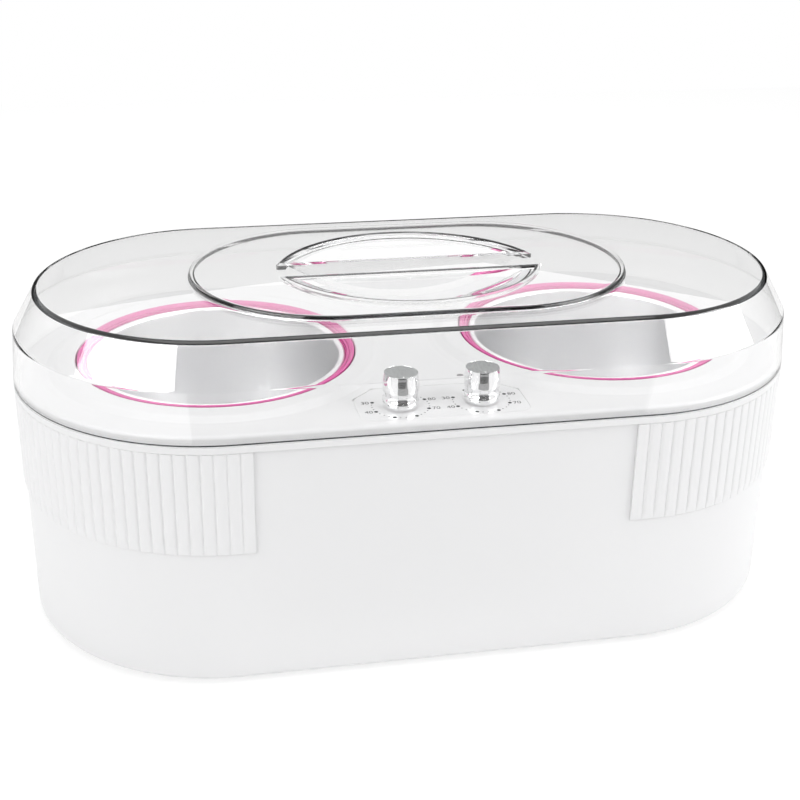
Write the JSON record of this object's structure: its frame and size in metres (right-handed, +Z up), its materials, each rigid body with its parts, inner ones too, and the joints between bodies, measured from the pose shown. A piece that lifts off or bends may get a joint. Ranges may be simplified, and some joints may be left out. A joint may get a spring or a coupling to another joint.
{
  "type": "double wax warmer",
  "caption": "Obround double wax warmer: clear lift-off lid over side-by-side aluminium pots in pink rings, chrome rotary heat knobs between them, ribbed white housing.",
  "frame": {"origin": "middle of the footprint, on the surface that the feet stand on", "axes": "+X to the user's right along the body, -Y to the user (the knobs' side), +Z up"},
  "size_m": [0.359, 0.1811, 0.1568],
  "materials": {
    "white_plastic": "smooth gloss moulded plastic",
    "clear_plastic": "clear moulded plastic",
    "pink_plastic": "smooth gloss moulded plastic",
    "pot_aluminium": "satin spun",
    "well_aluminium": "plain drawn",
    "knob_chrome": "polished",
    "satin_metal": "satin",
    "steel": "plated",
    "brass": "plain",
    "rubber": "matt",
    "silicone": "matt",
    "black_plastic": "fine grained",
    "lamp_lens": "smoked lens, unlit",
    "brown_wire": "wire insulation",
    "blue_wire": "wire insulation",
    "green_wire": "wire insulation"
  },
  "bodies": {
    "base": {"housing": "white_plastic", "top_cover": "white_plastic", "control_panel": "white_plastic", "base_plate": "white_plastic", "feet": "rubber", "base_screws": "steel", "cover_screws": "steel", "grip_band_left": "white_plastic", "grip_band_right": "white_plastic", "heater_well_left": "well_aluminium", "heater_well_right": "well_aluminium", "well_gasket_left": "silicone", "well_gasket_right": "silicone", "well_screws": "steel", "heater_band_left": "brass", "heater_band_right": "brass", "clamp_screws": "steel", "safety_cutout_left": "black_plastic", "safety_cutout_right": "black_plastic", "cutout_screws": "steel", "thermostat_base_left": "black_plastic", "thermostat_base_right": "black_plastic", "thermostat_bushing_left": "steel", "thermostat_bushing_right": "steel", "thermostat_nuts": "steel", "pilot_lamps": "lamp_lens", "mains_inlet": "black_plastic", "inlet_pins": "brass", "inlet_screws": "steel", "inlet_nuts": "steel", "terminal_block": "white_plastic", "terminal_screws": "brass", "live_leads": "brown_wire", "neutral_leads": "blue_wire", "earth_leads": "green_wire"},
    "pot_left": {"wax_pot_left": "pot_aluminium", "pot_ring_left": "pink_plastic"},
    "pot_right": {"wax_pot_right": "pot_aluminium", "pot_ring_right": "pink_plastic"},
    "lid": {"lid": "clear_plastic"},
    "knob_left": {"knob_left": "knob_chrome", "knob_cap_left": "satin_metal", "control_shaft_left": "steel"},
    "knob_right": {"knob_right": "knob_chrome", "knob_cap_right": "satin_metal", "control_shaft_right": "steel"}
  },
  "joints": [
    {"name": "pot_left_lift", "type": "slide", "parent": "base", "child": "pot_left", "axis": [0, 0, 1], "range_m": [0, 0.11]},
    {"name": "pot_right_lift", "type": "slide", "parent": "base", "child": "pot_right", "axis": [0, 0, 1], "range_m": [0, 0.11]},
    {"name": "lid_lift", "type": "slide", "parent": "pot_left", "child": "lid", "axis": [0, 0, 1], "range_m": [0, 0.2]},
    {"name": "knob_left_turn", "type": "hinge", "parent": "base", "child": "knob_left", "pos_m": [-0.0175, -0.0695, 0.125], "axis": [0, 0, -1], "range_deg": [0, 280]},
    {"name": "knob_right_turn", "type": "hinge", "parent": "base", "child": "knob_right", "pos_m": [0.0175, -0.0695, 0.125], "axis": [0, 0, -1], "range_deg": [0, 280]}
  ],
  "couplings": [
    {"joint": "pot_right_lift", "follows": "pot_left_lift", "ratio": 1}
  ]
}
